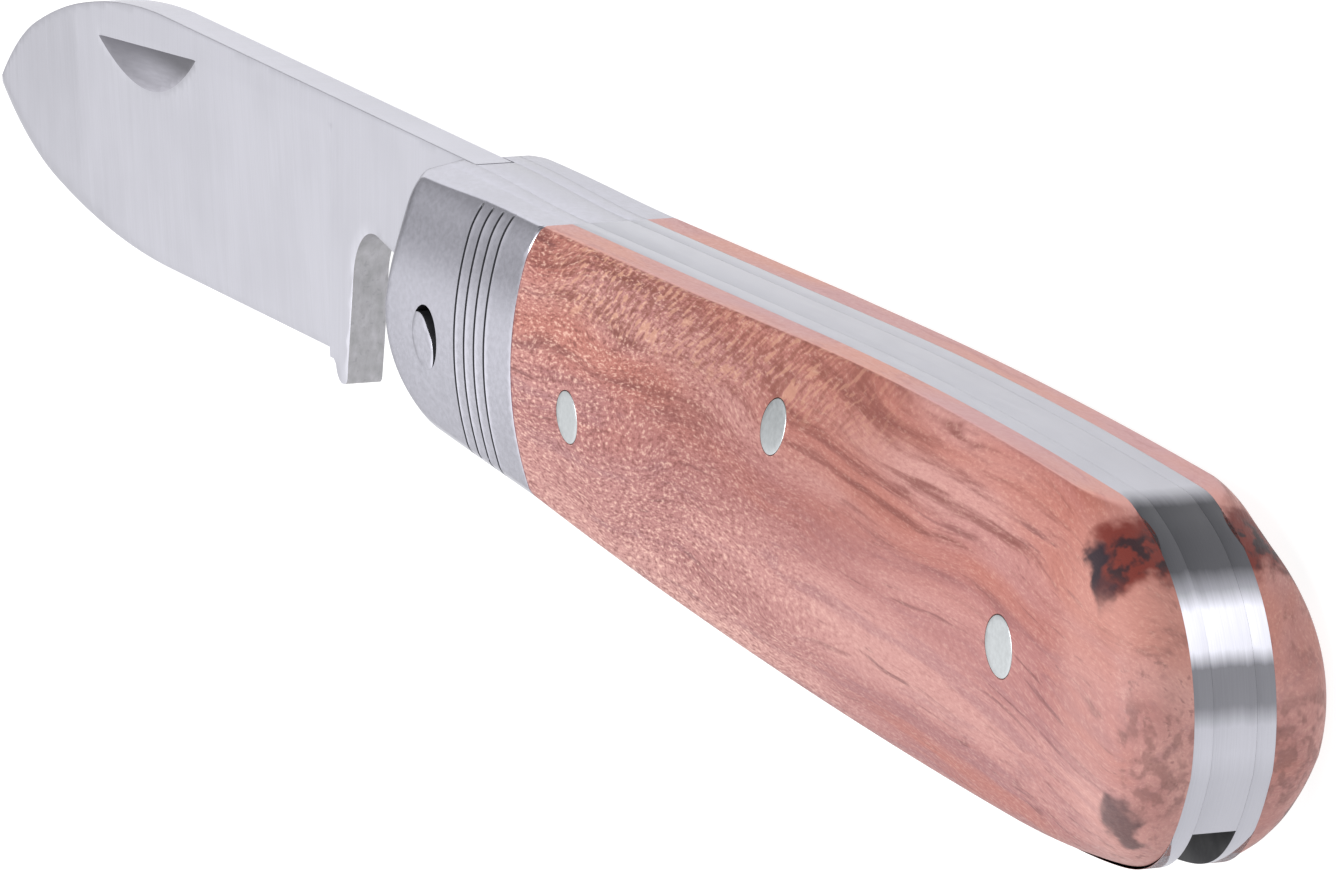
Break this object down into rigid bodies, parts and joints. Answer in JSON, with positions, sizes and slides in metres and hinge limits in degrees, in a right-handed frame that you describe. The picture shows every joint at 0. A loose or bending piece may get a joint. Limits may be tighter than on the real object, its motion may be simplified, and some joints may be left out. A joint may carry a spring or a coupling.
{
  "type": "folding knife",
  "caption": "Folding slip-joint knife with a wide cable blade, grooved steel bolsters and wooden scales held by flush pins.",
  "frame": {"origin": "on the blade's pivot axis, on the plane that the right side rests on", "axes": "+X from the pivot to the butt, +Y to the back of the handle and the spine of the blade, +Z to the left side, which faces up"},
  "size_m": [0.1904, 0.0228, 0.0123],
  "materials": {
    "blade_steel": "fine satin, ground along the blade's height",
    "handle_steel": "satin, ground flush at the back and butt",
    "pin_steel": "peened and ground flush",
    "rosewood": "sanded, oiled, open pores"
  },
  "bodies": {
    "handle": {"back_spring": "handle_steel", "left_liner": "handle_steel", "right_liner": "handle_steel", "left_bolster": "handle_steel", "right_bolster": "handle_steel", "left_scale": "rosewood", "right_scale": "rosewood", "pivot_pin": "pin_steel", "spring_pin": "pin_steel", "rear_pin": "pin_steel", "left_scale_pin": "pin_steel", "right_scale_pin": "pin_steel", "left_bolster_rivets": "handle_steel", "right_bolster_rivets": "handle_steel"},
    "blade": {"blade": "blade_steel"}
  },
  "joints": [
    {"name": "blade_pivot", "type": "hinge", "parent": "handle", "child": "blade", "pos_m": [0, 0, 0.00615], "axis": [0, 0, 1], "range_deg": [0, 174], "deforming": ["back_spring"]}
  ]
}
